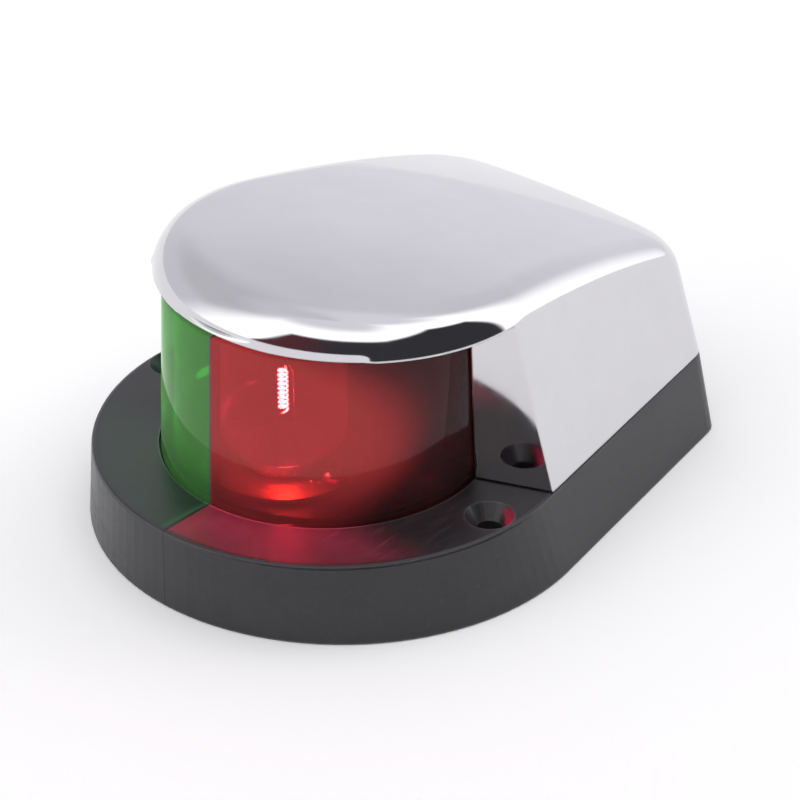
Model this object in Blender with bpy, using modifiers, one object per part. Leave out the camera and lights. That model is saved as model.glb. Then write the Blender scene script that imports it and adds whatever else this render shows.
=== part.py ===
"""Bi-colour bow navigation light: chrome hood over a red and a green lens on a black moulded base.

Units are metres, +Z is up, the bow is -Y and port is +X.  The origin lies on the deck plane, under
the middle of the light's length.
"""
import math

import bmesh
import bpy
from mathutils import Vector

MM = 0.001
NAME = "bow_navigation_light"

# ---- plan outline of the base and hood: a bow arc, two tangent sides and a rounded transom ----
ARC_Y = -9.5             # the bow arc's centre from the middle of the light's length
ARC_R = 45.0             # bow arc at the deck
AFT = 64.0               # transom aft of the arc's centre at the deck
AFT_HALF = 34.3          # half width between the transom corners at the deck
CORNER_R = 5.3
DECK_Z = 14.75           # height of the base's top face
TOP_R = 42.2             # bow arc at the base's top face
TOP_FORE = 2.6
TOP_AFT = 63.0
TOP_HALF = 31.15
TOP_CORNER = 4.8
RIM_R = 34.2             # bow arc of the hood at the visor's rim
RIM_FORE = -2.0
RIM_AFT = 61.0
RIM_HALF = 24.4
RIM_CORNER = 10.2
RIM_Z = 45.8
RIM_RISE = 0.026         # the visor's rim climbs a little towards the bow
ARC_STEPS = 30           # points along each part of an outline
SIDE_STEPS = 4
CORNER_STEPS = 6
AFT_STEPS = 5
FITTING_PASSES = 12      # rounds that bring a drafted wall's top onto the dome

# ---- base ----
DECK_EDGE = ((0.6, 0.0), (0.2, 0.15), (0.0, 0.6))   # (below the top face, inset) round its edge
BASE_WALL = 5.0
BASE_SIDE_WALL = 4.0
POCKET_ROOF = 11.2       # the underside is hollow up to here
MOUNT_BOSS_R = 5.4
HOOD_BOSS_R = 6.6
LEAD_BOSS_R = 8.0
RECESS = 1.4             # the gasket's recess runs this far inside the edge
RECESS_SIDE = 1.2
GASKET_SEAT = 1.6
GROOVE_FLOOR = 12.9      # groove in the top face for the lens's foot
GROOVE_PLAY = 0.35
GROOVE_ENDS = 1.2        # degrees past the lens's ends
GASKET_PLAY = 0.2
THROUGH_LOW = -3.0       # cutters reach from here
THROUGH_HIGH = 20.0      # up to here

# ---- hood ----
DOME_Z = 52.7            # height of the crown over the bow arc's centre
DOME_TILT = 0.10         # the crown rises towards the bow
DOME_X = 0.0021          # fall per square millimetre across
DOME_Y = 0.0025          # fall per square millimetre along
CREASE = 5.6             # how far the rounded crease reaches from the sharp corner
CREASE_FROM = (0.0, 0.5, 0.9)   # shares of the drafted side at which it is divided
DOME_PEAK = -14.0        # the dome's rings close in towards this place
CREASE_STEPS = 6
DOME_RINGS = (0.82, 0.6, 0.38, 0.16)
HOOD_WALL = 2.2
HOOD_TOP_WALL = 2.4
HOOD_GAP = 0.3           # clearance between pieces that touch
CUTOFF = 112.5           # half of the light's arc, from dead ahead
CUTOFF_FORE = 9.8        # the two return walls lie on lines that cross here
CORE_FOOT = 8.0          # the hood's hollow starts below its foot
CORE_HIGH = 70.0
STRIP_NEAR = 20.0        # the return walls' plates start and end clear of what they cut
STRIP_FAR = 90.0
PLAN_FAR = 120.0         # plan polygons reach past everything
BORE_LOW = 10.0
BORE_HIGH = 40.0
THREAD_TOP = 30.0
HOOD_ORIGIN = (0.0, ARC_Y, DECK_Z)   # a point on the line along which the hood lifts off
BORE_SHORT = 0.1         # the lens's bore stops this far under the visor's rim

# ---- lens ----
LENS_FORE = 4.8
LENS_R = 28.6
LENS_DRAFT = 0.039
LENS_WALL = 2.2
LENS_HALF = 109.0
LENS_BOTTOM = 14.0
LENS_TOP = 45.5          # at the bow arc's centre; it follows the visor's slope
STRIP_HALF = 0.2
RING_STEPS = 80
STRIP_GAP = 0.05
SEAL_GROOVE = 1.1
SEAL_WIDTH = 1.1
SEAL_GAP = 0.05
UPPER_SEAL_HALF = 98.0

# ---- screws and holes ----
MOUNT_FORE = 5.0
MOUNT_X = 37.3
MOUNT_R = 2.3
MOUNT_MOUTH = 4.25
MOUNT_SINK = 2.6
SINK_RISE = (0.4, 0.3)   # the countersink's cutter goes on this far up and out
HOOD_SCREW_AFT = 38.0
HOOD_SCREW_X = 19.0
SCREW_R = 1.9
SCREW_HEAD_R = 3.5
BOSS_R = 4.6
ROUND = 32
SCREW_SEAT = 7.0
SCREW_LENGTH = 22.0
SCREW_HEAD_H = 2.2
SCREW_SLOT = 1.9         # half length of the cross recess
SLOT_HALF = 0.45         # half width of the cross recess
WASHER_H = 1.0
HEAD_PLAY = 1.3
HOLE_PLAY = 0.4
THREAD_PLAY = 0.3
POCKET_R = 24.0
LEAD_AFT = 24.0
LEAD_HOLE_R = 5.2
LEAD_R = 3.5
GROMMET_FOOT = 8.0
GROMMET_LIP = 2.0
GROMMET_H = 1.6

# ---- bayonet lamp, its socket and the screen behind it ----
LAMP_FORE = 15.3
LAMP_STEPS = 40          # facets round the lamp and its socket
GLASS_R = 11.0
GLASS_TOP = 46.0
GLASS_WALL = 0.7
NECK_R = 6.7
NECK_LOW = 14.5
CAP_R = 7.6
CAP_WALL = 0.5
CAP_LOW = 8.0
CAP_TOP = 18.0
PIN_R = 1.0
PIN_Z = 12.5
PIN_REACH = 9.0
LAMP_TURN = 20.0         # degrees from the locked place to the way out
SOCKET_R = 8.6
SOCKET_WALL = 0.7
SOCKET_LOW = 2.3
SOCKET_FLOOR = 0.8
FLANGE_R = 14.2
FLANGE_TOP = 15.85
SOCKET_HOLE_R = 9.9
CARRIER_LOW = 5.2
CARRIER_TOP = 6.0
CARRIER_R = 7.4
COIL_LOW = 25.0
COIL_HIGH = 33.0
COIL_TURNS = 9
COIL_R = 0.75
WIRE_R = 0.2
FOOT_SCREW_X = 11.8
FOOT_SCREW_R = 1.2
FOOT_SCREW_LENGTH = 5.6
FOOT_HEAD_R = 2.1
FOOT_HEAD_H = 1.3
FOOT_PILOT_LOW = 9.0
CONTACT_HOLE_R = 2.6     # hole in the socket's floor
SLOT_PLAY = 0.35
LOCK_REACH = 12.0
ENTRY_REACH = 9.7
SPRING_R = 5.2
SPRING_TURNS = 2.5
SPRING_STEPS = 16
SPRING_WIRE_R = 0.2
COIL_STEPS = 8
POST_X = (-2.2, 2.6)     # the two stiff wires that carry the coil
SCREEN_FRONT = -3.8
SCREEN_WALL = 1.4
SCREEN_HALF = 23.2
SCREEN_TOP = 47.0
TAB_X = 14.0
TAB_HALF = 2.0
TAB_DEPTH = 2.0
TAB_PLAY = 0.3
SLOT_FLOOR = 12.35       # the tabs' slots in the base go down to here
SHARP_ANGLE = 32.0       # degrees
HOOD_SHARP_ANGLE = 28.0

PALETTE = {
    "base": ((0.035, 0.035, 0.04), 0.42, 0.0),
    "deck_gasket": ((0.03, 0.03, 0.03), 0.9, 0.0),
    "hood": ((0.82, 0.82, 0.84), 0.08, 1.0),
    "lens_red_port": ((0.55, 0.01, 0.02), 0.12, 0.0),
    "lens_green_starboard": ((0.02, 0.3, 0.04), 0.12, 0.0),
    "lens_joint_strip": ((0.02, 0.02, 0.02), 0.6, 0.0),
    "lens_seal": ((0.03, 0.03, 0.03), 0.85, 0.0),
    "lamp_socket": ((0.72, 0.62, 0.4), 0.3, 1.0),
    "socket_carrier": ((0.16, 0.08, 0.04), 0.5, 0.0),
    "rear_screen": ((0.04, 0.04, 0.04), 0.6, 0.0),
    "contact": ((0.72, 0.52, 0.2), 0.25, 1.0),
    "bulb_glass": ((0.95, 0.95, 0.95), 0.02, 0.0),
    "bulb_cap": ((0.7, 0.7, 0.72), 0.25, 1.0),
    "bulb_filament": ((0.5, 0.48, 0.45), 0.4, 1.0),
    "steel": ((0.6, 0.6, 0.6), 0.3, 1.0),
    "wire_grommet": ((0.03, 0.03, 0.03), 0.85, 0.0),
}


# ------------------------------------------------------------------ scene and mesh helpers
def clear_scene():
    for obj in list(bpy.data.objects):
        bpy.data.objects.remove(obj, do_unlink=True)


def collection(name):
    made = bpy.data.collections.new(name)
    bpy.context.scene.collection.children.link(made)
    return made


def link(mesh, name, cutter=False):
    obj = bpy.data.objects.new(name, mesh)
    (CUTTERS if cutter else PARTS).objects.link(obj)
    if cutter:
        obj.hide_render = True
        obj.display_type = "WIRE"
    return obj


def from_bmesh(bm, name, cutter=False):
    bmesh.ops.recalc_face_normals(bm, faces=bm.faces)
    mesh = bpy.data.meshes.new(name)
    bm.to_mesh(mesh)
    bm.free()
    return link(mesh, name, cutter)


def evaluate(obj):
    """Replace the object's mesh with what its modifiers make of it."""
    graph = bpy.context.evaluated_depsgraph_get()
    mesh = bpy.data.meshes.new_from_object(obj.evaluated_get(graph))
    obj.modifiers.clear()
    obj.data = mesh
    return obj


def boolean(obj, cutter, operation="DIFFERENCE"):
    mod = obj.modifiers.new(cutter.name, "BOOLEAN")
    mod.operation = operation
    mod.solver = "EXACT"
    mod.object = cutter
    return evaluate(obj)


def weld(obj, distance=0.00002):
    bm = bmesh.new()
    bm.from_mesh(obj.data)
    bmesh.ops.remove_doubles(bm, verts=bm.verts, dist=distance)
    bmesh.ops.recalc_face_normals(bm, faces=bm.faces)
    bm.to_mesh(obj.data)
    bm.free()
    return obj


def finish(obj, look, sharp=SHARP_ANGLE):
    colour, roughness, metallic = PALETTE[look]
    material = bpy.data.materials.new(obj.name)
    material.use_nodes = True
    shader = material.node_tree.nodes["Principled BSDF"]
    shader.inputs["Base Color"].default_value = (*colour, 1.0)
    shader.inputs["Roughness"].default_value = roughness
    shader.inputs["Metallic"].default_value = metallic
    obj.data.materials.clear()
    obj.data.materials.append(material)
    obj.data.shade_smooth()
    obj.data.set_sharp_from_angle(angle=math.radians(sharp))
    return obj


def set_origin(obj, x, y, z):
    """Put a moving piece's origin on its joint's axis without moving the piece."""
    place = Vector((x, y, z)) * MM
    for vertex in obj.data.vertices:
        vertex.co -= place
    obj.location = place


def fore(distance):
    """Y of a point that many millimetres forward of the bow arc's centre."""
    return ARC_Y - distance


# ------------------------------------------------------------------ shape helpers
def outline(radius, forward, aft, half, corner=CORNER_R):
    """Plan outline in millimetres, clockwise from the middle of the transom's port half.

    Every outline has the same number of points in the same order, so two can be lofted.
    """
    centre_y = fore(forward)
    aft_y = fore(-aft)
    dy = aft_y - centre_y
    reach = math.hypot(half, dy)
    lean = math.acos(radius / reach)
    towards = math.atan2(dy, half)
    tangent = towards - lean
    points = []
    side_top = Vector((radius * math.cos(tangent), centre_y + radius * math.sin(tangent)))
    side_end = Vector((half, aft_y))
    along = (side_end - side_top).normalized()
    turn = math.acos(max(-1.0, min(1.0, along.dot(Vector((-1.0, 0.0))))))
    cut = corner * math.tan(turn / 2)
    start = side_end - along * cut
    end = Vector((half - cut, aft_y))
    middle = start + Vector((-along.y, along.x)) * corner
    for step in range(ARC_STEPS + 1):
        angle = -math.pi / 2 + (tangent + math.pi / 2) * step / ARC_STEPS
        points.append(Vector((radius * math.cos(angle), centre_y + radius * math.sin(angle))))
    for step in range(1, SIDE_STEPS + 1):
        points.append(side_top.lerp(start, step / SIDE_STEPS))
    first = math.atan2(start.y - middle.y, start.x - middle.x)
    for step in range(1, CORNER_STEPS):
        angle = first + (math.pi / 2 - first) * step / CORNER_STEPS
        points.append(middle + Vector((math.cos(angle), math.sin(angle))) * corner)
    for step in range(AFT_STEPS + 1):
        points.append(end.lerp(Vector((0.0, aft_y)), step / AFT_STEPS))
    mirrored = [Vector((-p.x, p.y)) for p in reversed(points[1:-1])]
    return points + mirrored


def loft(name, rings, cutter=False):
    """Closed solid through rings of equal length, given in millimetres."""
    bm = bmesh.new()
    rows = [[bm.verts.new(point * MM) for point in ring] for ring in rings]
    for lower, upper in zip(rows, rows[1:]):
        for index in range(len(lower)):
            after = (index + 1) % len(lower)
            bm.faces.new((lower[index], lower[after], upper[after], upper[index]))
    bm.faces.new(rows[0])
    bm.faces.new(rows[-1])
    return from_bmesh(bm, name, cutter)


def prism(name, plan, low, high, cutter=False):
    """Extrude a plan polygon from one height to another."""
    bm = bmesh.new()
    verts = [bm.verts.new(Vector((p[0], p[1], low)) * MM) for p in plan]
    face = bm.faces.new(verts)
    grown = bmesh.ops.extrude_face_region(bm, geom=[face])
    lifted = [item for item in grown["geom"] if isinstance(item, bmesh.types.BMVert)]
    bmesh.ops.translate(bm, verts=lifted, vec=(0, 0, (high - low) * MM))
    return from_bmesh(bm, name, cutter)


def box(name, low, high, cutter=False):
    plan = ((low[0], low[1]), (high[0], low[1]), (high[0], high[1]), (low[0], high[1]))
    return prism(name, plan, low[2], high[2], cutter)


def cylinder(name, x, y, low, high, r_low, r_high=None, steps=ROUND, cutter=False):
    bm = bmesh.new()
    bmesh.ops.create_cone(bm, cap_ends=True, segments=steps, radius1=r_low * MM,
                          radius2=(r_low if r_high is None else r_high) * MM,
                          depth=(high - low) * MM)
    bmesh.ops.translate(bm, verts=bm.verts, vec=Vector((x, y, (low + high) / 2)) * MM)
    return from_bmesh(bm, name, cutter)


def revolve(name, profile, x, y, steps=ROUND, cutter=False):
    """Screw a closed profile of (radius, height) pairs about a vertical axis."""
    mesh = bpy.data.meshes.new(name)
    count = len(profile)
    edges = [(index, (index + 1) % count) for index in range(count)]
    mesh.from_pydata([(r * MM, 0.0, z * MM) for r, z in profile], edges, [])
    obj = link(mesh, name, cutter)
    mod = obj.modifiers.new("turn", "SCREW")
    mod.steps = steps
    mod.render_steps = steps
    mod.use_merge_vertices = True
    mod.merge_threshold = 0.00001
    evaluate(obj)
    weld(obj, 0.000001)
    shift(obj, x, y)
    return obj


def shift(obj, x, y, z=0.0):
    for vertex in obj.data.vertices:
        vertex.co += Vector((x, y, z)) * MM
    return obj


def sector_plan(half_angle, side=0, gap=0.0, forward=LENS_FORE, far=PLAN_FAR):
    """Plan of the wedge out to a bearing on both sides of dead ahead, or on one side of it."""
    apex = Vector((0.0, fore(forward)))
    bearing = math.radians(half_angle)
    edge = apex + Vector((math.sin(bearing), -math.cos(bearing))) * far
    right = [Vector((far, apex.y - far)), Vector((far, edge.y)), edge]
    if side == 0:
        left = [Vector((-p.x, p.y)) for p in reversed(right)]
        return [apex] + left + right
    inner = [Vector((gap, apex.y)), Vector((gap, apex.y - far))]
    return [Vector((p.x * side, p.y)) for p in inner + right]


def follow_visor(obj, above=30.0):
    """Tilt the parts of a mesh above a height so that they follow the visor's slope."""
    for vertex in obj.data.vertices:
        if vertex.co.z > above * MM:
            vertex.co.z += RIM_RISE * (ARC_Y * MM - vertex.co.y)
    return obj


def lens_radius(z):
    return LENS_R - LENS_DRAFT * (z - DECK_Z)


# ------------------------------------------------------------------ base and gasket
def make_base():
    deck = outline(ARC_R, 0.0, AFT, AFT_HALF)
    top = outline(TOP_R, TOP_FORE, TOP_AFT, TOP_HALF, TOP_CORNER)
    rings = []
    for below, inset in ((DECK_Z, 0.0),) + DECK_EDGE:
        z = DECK_Z - below
        part = z / DECK_Z
        ring = [a.lerp(b, part) for a, b in zip(deck, top)]
        centre = Vector((0.0, ARC_Y))
        rings.append([Vector((*(p + (centre - p).normalized() * inset), z)) for p in ring])
    base = loft("base", rings)

    hollow_base(base)
    foot = lens_radius(LENS_BOTTOM)
    groove = ring_part("groove", foot - LENS_WALL - GROOVE_PLAY, foot + GROOVE_PLAY, GROOVE_FLOOR,
                       THROUGH_HIGH, sector_plan(LENS_HALF + GROOVE_ENDS))
    boolean(base, groove)
    drill_base(base)
    return finish(base, "base")


def level(name, plan, low, high):
    """Cutter: an outline carried straight up from one height to another."""
    return loft(name, [[Vector((p.x, p.y, z)) for p in plan] for z in (low, high)], cutter=True)


def hollow_base(base):
    """Hollow the underside round its bosses, and sink the gasket's recess into it."""
    pocket = level("pocket", outline(ARC_R - BASE_WALL, 0.0, AFT - BASE_WALL,
                                     AFT_HALF - BASE_SIDE_WALL), THROUGH_LOW, POCKET_ROOF)
    places = [(0.0, fore(-LEAD_AFT), LEAD_BOSS_R)]
    for side in (1, -1):
        places.append((side * MOUNT_X, fore(MOUNT_FORE), MOUNT_BOSS_R))
        places.append((side * HOOD_SCREW_X, fore(-HOOD_SCREW_AFT), HOOD_BOSS_R))
    for x, y, radius in places:
        boolean(pocket, through(x, y, radius))
    boolean(base, pocket)
    boolean(base, level("recess", outline(ARC_R - RECESS, 0.0, AFT - RECESS,
                                          AFT_HALF - RECESS_SIDE), THROUGH_LOW, GASKET_SEAT))


def through(x, y, radius, steps=ROUND):
    """Cutter: an upright cylinder that passes right through the base."""
    return cylinder("hole", x, y, THROUGH_LOW, THROUGH_HIGH, radius, None, steps, True)


def drill_base(base):
    """Screw holes, the lead's hole, the screen's slots and the lamp socket's hole."""
    for side in (1, -1):
        x = side * MOUNT_X
        y = fore(MOUNT_FORE)
        rise, spread = SINK_RISE
        boolean(base, through(x, y, MOUNT_R))
        boolean(base, cylinder("sink", x, y, DECK_Z - MOUNT_SINK, DECK_Z + rise, MOUNT_R,
                               MOUNT_MOUTH + spread, cutter=True))
        x = side * HOOD_SCREW_X
        y = fore(-HOOD_SCREW_AFT)
        boolean(base, through(x, y, SCREW_R + HOLE_PLAY))
        boolean(base, cylinder("head", x, y, THROUGH_LOW, SCREW_SEAT, SCREW_HEAD_R + HEAD_PLAY,
                               cutter=True))
        reach = TAB_HALF + TAB_PLAY
        low = (side * TAB_X - reach, fore(SCREEN_FRONT) - TAB_PLAY, SLOT_FLOOR)
        high = (side * TAB_X + reach, fore(SCREEN_FRONT - SCREEN_WALL) + TAB_PLAY, THROUGH_HIGH)
        boolean(base, box("slot", low, high, cutter=True))
        boolean(base, cylinder("pilot", side * FOOT_SCREW_X, fore(LAMP_FORE), FOOT_PILOT_LOW,
                               THROUGH_HIGH, FOOT_SCREW_R + THREAD_PLAY, cutter=True))
    boolean(base, through(0.0, fore(-LEAD_AFT), LEAD_HOLE_R))
    boolean(base, through(0.0, fore(LAMP_FORE), SOCKET_HOLE_R, LAMP_STEPS))


def make_gasket():
    inset = RECESS + HOOD_GAP
    plan = outline(ARC_R - inset, 0.0, AFT - inset, AFT_HALF - RECESS_SIDE - HOOD_GAP)
    gasket = prism("deck_gasket", plan, 0.0, GASKET_SEAT - HOOD_GAP)
    for side in (1, -1):
        boolean(gasket, through(side * MOUNT_X, fore(MOUNT_FORE), MOUNT_R + GASKET_PLAY))
        boolean(gasket, through(side * HOOD_SCREW_X, fore(-HOOD_SCREW_AFT),
                                SCREW_HEAD_R + HEAD_PLAY))
    boolean(gasket, through(0.0, fore(-LEAD_AFT), LEAD_HOLE_R + GROMMET_LIP))
    return finish(gasket, "deck_gasket")


# ------------------------------------------------------------------ hood
def dome_height(point, drop=0.0):
    ahead = ARC_Y - point.y
    return DOME_Z - drop + DOME_TILT * ahead - DOME_X * point.x ** 2 - DOME_Y * ahead ** 2


def hood_rings(wall=0.0, drop=0.0, foot=DECK_Z + 0.3):
    """Rings up the drafted side, round the crease and over the dome."""
    low = outline(TOP_R - wall, TOP_FORE, TOP_AFT - wall, TOP_HALF - wall, TOP_CORNER - wall)
    high = outline(RIM_R - wall, RIM_FORE, RIM_AFT - wall, RIM_HALF - wall, RIM_CORNER - wall)
    span = RIM_Z - DECK_Z

    def side_point(index, z):
        plan = low[index].lerp(high[index], (z - DECK_Z) / span)
        return Vector((plan.x, plan.y, z))

    corners = []
    for index in range(len(low)):
        z = RIM_Z
        for _ in range(FITTING_PASSES):
            z = dome_height(side_point(index, z), drop)
        corners.append(side_point(index, z))
    peak = Vector((0.0, fore(DOME_PEAK), 0.0))
    starts = []
    ends = []
    for index, corner in enumerate(corners):
        down = (side_point(index, foot) - corner).normalized()
        starts.append(corner + down * CREASE)
        inward = (peak - Vector((corner.x, corner.y, 0.0))).normalized()
        end = corner + inward * CREASE
        end.z = dome_height(end, drop)
        ends.append(end)
    rings = []
    for part in CREASE_FROM:
        rings.append([side_point(i, foot + (starts[i].z - foot) * part) for i in range(len(low))])
    for step in range(CREASE_STEPS + 1):
        t = step / CREASE_STEPS
        rings.append([start * (1 - t) ** 2 + corner * 2 * t * (1 - t) + end * t ** 2
                      for start, corner, end in zip(starts, corners, ends)])
    for part in DOME_RINGS:
        ring = []
        for end in ends:
            plan = Vector((end.x * part, peak.y + (end.y - peak.y) * part, 0.0))
            plan.z = dome_height(plan, drop)
            ring.append(plan)
        rings.append(ring)
    return rings


def cutoff_strip(side):
    """The hood's return wall: a plate along the cut-off line, from the lens out to the skin."""
    bearing = math.radians(CUTOFF)
    along = Vector((math.sin(bearing), -math.cos(bearing)))
    across = Vector((along.y, -along.x)) * -1.0
    if across.y < 0.0:
        across.negate()
    apex = Vector((0.0, fore(CUTOFF_FORE)))
    near = apex + along * STRIP_NEAR
    far = apex + along * STRIP_FAR
    plan = (near, far, far + across * HOOD_WALL, near + across * HOOD_WALL)
    return [Vector((p.x * side, p.y)) for p in plan]


def window_plan():
    """Everything ahead of the two cut-off lines."""
    return sector_plan(CUTOFF, forward=CUTOFF_FORE)


def aft_plan():
    """Everything aft of the two return walls."""
    right = cutoff_strip(1)
    inner = right[3]
    outer = right[2]
    return [Vector((-inner.x, inner.y)), inner, outer, Vector((outer.x, PLAN_FAR)),
            Vector((-outer.x, PLAN_FAR)), Vector((-outer.x, outer.y))]


def make_hood():
    hood = loft("hood", hood_rings())
    boolean(hood, follow_visor(prism("window", window_plan(), 0.0, RIM_Z, cutter=True)))
    top = RIM_Z - BORE_SHORT
    bore = cylinder("lens_bore", 0.0, fore(LENS_FORE), BORE_LOW, top,
                    lens_radius(BORE_LOW) + HOOD_GAP, lens_radius(top) + HOOD_GAP, RING_STEPS, True)
    boolean(hood, follow_visor(bore))
    inner = lens_radius(LENS_TOP) - LENS_WALL
    groove = ring_part("seal_groove", inner - 2 * SEAL_GAP, inner + SEAL_WIDTH + 4 * SEAL_GAP,
                       BORE_HIGH, RIM_Z + SEAL_GROOVE, sector_plan(UPPER_SEAL_HALF + 1.0))
    boolean(hood, follow_visor(groove))
    boolean(hood, hood_core())
    for side in (1, -1):
        boolean(hood, cylinder("thread", side * HOOD_SCREW_X, fore(-HOOD_SCREW_AFT), 0.0,
                               THREAD_TOP, SCREW_R + THREAD_PLAY, cutter=True))
    finish(hood, "hood", HOOD_SHARP_ANGLE)
    set_origin(hood, *HOOD_ORIGIN)


def hood_core():
    """Cutter: the hood's hollow, aft of the return walls and over the lamp, round its two bosses."""
    core = loft("core", hood_rings(HOOD_WALL, HOOD_TOP_WALL, CORE_FOOT), cutter=True)
    room = prism("room", aft_plan(), 0.0, CORE_HIGH, cutter=True)
    pocket = cylinder("pocket", 0.0, fore(LENS_FORE), 0.0, CORE_HIGH, POCKET_R, None, RING_STEPS,
                      True)
    boolean(room, pocket, "UNION")
    boolean(core, room, "INTERSECT")
    for side in (1, -1):
        boolean(core, cylinder("boss", side * HOOD_SCREW_X, fore(-HOOD_SCREW_AFT), 0.0, CORE_HIGH,
                               BOSS_R, cutter=True))
    return core


# ------------------------------------------------------------------ lens and seals
def ring_part(name, inner, outer, low, high, plan, cutter=True, taper=0.0):
    """Part of a ring about the lens's axis, kept inside a plan polygon."""
    profile = ((inner, low), (outer, low), (outer + taper, high), (inner + taper, high))
    piece = revolve(name, profile, 0.0, fore(LENS_FORE), RING_STEPS, cutter)
    boolean(piece, prism("keep", plan, low - 1.0, high + 1.0, cutter=True), "INTERSECT")
    return weld(piece)


def make_lens():
    outer = lens_radius(LENS_BOTTOM)
    inner = outer - LENS_WALL
    taper = lens_radius(LENS_TOP) - outer
    gap = STRIP_HALF + STRIP_GAP
    strip_plan = [Vector((-STRIP_HALF, -PLAN_FAR)), Vector((STRIP_HALF, -PLAN_FAR)),
                  Vector((STRIP_HALF, fore(LENS_FORE))), Vector((-STRIP_HALF, fore(LENS_FORE)))]
    for name, plan in (("lens_red_port", sector_plan(LENS_HALF, 1, gap)),
                       ("lens_green_starboard", sector_plan(LENS_HALF, -1, gap)),
                       ("lens_joint_strip", strip_plan)):
        piece = ring_part(name, inner, outer, LENS_BOTTOM, LENS_TOP, plan, False, taper)
        finish(follow_visor(piece), name)


def make_seals():
    outer = lens_radius(LENS_BOTTOM)
    lower = ring_part("lens_seal_lower", outer - LENS_WALL, outer, GROOVE_FLOOR + SEAL_GAP,
                      LENS_BOTTOM - 2 * SEAL_GAP, sector_plan(LENS_HALF), False)
    finish(lower, "lens_seal")
    inner = lens_radius(LENS_TOP) - LENS_WALL + SEAL_GAP
    upper = ring_part("lens_seal_upper", inner, inner + SEAL_WIDTH, LENS_TOP + SEAL_GAP,
                      RIM_Z + SEAL_GROOVE - 2 * SEAL_GAP, sector_plan(UPPER_SEAL_HALF), False)
    finish(follow_visor(upper, 0.0), "lens_seal")
    set_origin(upper, *HOOD_ORIGIN)


# ------------------------------------------------------------------ lamp holder
def turned(name, profile, look, steps=LAMP_STEPS):
    """Solid of revolution whose profile starts and ends on the vertical axis."""
    mesh = bpy.data.meshes.new(name)
    edges = [(index, index + 1) for index in range(len(profile) - 1)]
    mesh.from_pydata([(r * MM, 0.0, z * MM) for r, z in profile], edges, [])
    obj = link(mesh, name)
    mod = obj.modifiers.new("turn", "SCREW")
    mod.steps = steps
    mod.render_steps = steps
    mod.use_merge_vertices = True
    mod.merge_threshold = 0.00001
    evaluate(obj)
    weld(obj, 0.000001)
    return finish(obj, look)


def wedge(name, start, end, reach, low, high):
    """Cutter: a slice about the lamp's axis between two bearings in degrees."""
    axis = Vector((0.0, fore(LAMP_FORE)))
    plan = [axis]
    for bearing in (start, (start + end) / 2, end):
        angle = math.radians(bearing)
        plan.append(axis + Vector((math.cos(angle), math.sin(angle))) * reach)
    return prism(name, plan, low, high, cutter=True)


def make_socket():
    y = fore(LAMP_FORE)
    inner = SOCKET_R - SOCKET_WALL
    floor = DECK_Z + HOOD_GAP
    inside = SOCKET_LOW + SOCKET_FLOOR
    profile = ((CONTACT_HOLE_R, SOCKET_LOW), (SOCKET_R, SOCKET_LOW), (SOCKET_R, floor),
               (FLANGE_R, floor), (FLANGE_R, FLANGE_TOP), (inner, FLANGE_TOP), (inner, inside),
               (CONTACT_HOLE_R, inside))
    socket = revolve("lamp_socket", profile, 0.0, y, LAMP_STEPS)
    slot = PIN_R + SLOT_PLAY
    spread = math.degrees(slot / CAP_R)
    for turn in (0.0, 180.0):
        boolean(socket, wedge("lock", turn - spread, turn + LAMP_TURN + spread, LOCK_REACH,
                              PIN_Z - slot, PIN_Z + slot))
        boolean(socket, wedge("entry", turn + LAMP_TURN - spread, turn + LAMP_TURN + spread,
                              ENTRY_REACH, PIN_Z - slot, THROUGH_HIGH))
    for side in (1, -1):
        boolean(socket, cylinder("foot_hole", side * FOOT_SCREW_X, y, floor - 1.0,
                                 FLANGE_TOP + 1.0, FOOT_SCREW_R + THREAD_PLAY, cutter=True))
    finish(socket, "lamp_socket")
    make_socket_contacts(y, inside)


def make_socket_contacts(y, inside):
    """Sprung contact carrier: an insulating disc, its brass button and the coil under it."""
    step = CARRIER_TOP - 0.4
    carrier = turned("socket_carrier", ((0.0, CARRIER_LOW), (CARRIER_R, CARRIER_LOW),
                                        (CARRIER_R, CARRIER_TOP), (1.7, CARRIER_TOP),
                                        (1.7, step), (0.0, step)), "socket_carrier")
    shift(carrier, 0.0, y)
    button = ((0.0, -0.1), (1.3, -0.1), (1.3, 0.1), (0.9, 0.3), (0.0, 0.35))
    contact = turned("socket_contact", [(r, CARRIER_TOP + z) for r, z in button], "contact")
    shift(contact, 0.0, y)
    low = inside + 0.5
    high = CARRIER_LOW - 0.5
    count = int(SPRING_TURNS * SPRING_STEPS)
    wire("socket_spring", helix(SPRING_R, low, high, SPRING_TURNS, count, y), SPRING_WIRE_R, "steel")


def helix(radius, low, high, turns, count, y):
    """Points of a coil about an upright axis."""
    points = []
    for step in range(count + 1):
        angle = turns * math.tau * step / count
        points.append(Vector((radius * math.cos(angle), y + radius * math.sin(angle),
                              low + (high - low) * step / count)))
    return points


def make_screen():
    low = DECK_Z + HOOD_GAP
    front = fore(SCREEN_FRONT)
    back = fore(SCREEN_FRONT - SCREEN_WALL)
    screen = box("rear_screen", (-SCREEN_HALF, front, low), (SCREEN_HALF, back, SCREEN_TOP))
    for x in (-TAB_X, TAB_X):
        tab = box("tab", (x - TAB_HALF, front, DECK_Z - TAB_DEPTH),
                  (x + TAB_HALF, back, low + TAB_DEPTH), cutter=True)
        boolean(screen, tab, "UNION")
    finish(screen, "rear_screen")


def make_bulb():
    y = fore(LAMP_FORE)
    pieces = [make_envelope(), make_cap()]
    contact = ((0.0, 1.4), (1.7, 1.3), (2.3, 0.9), (2.3, 0.3), (0.0, 0.3))
    pieces.append(turned("bulb_contact", [(r, CAP_LOW - drop) for r, drop in contact], "contact"))
    for piece in pieces:
        shift(piece, 0.0, y)
    pieces.append(make_filament(y))
    for piece in pieces:
        set_origin(piece, 0.0, y, PIN_Z)


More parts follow.
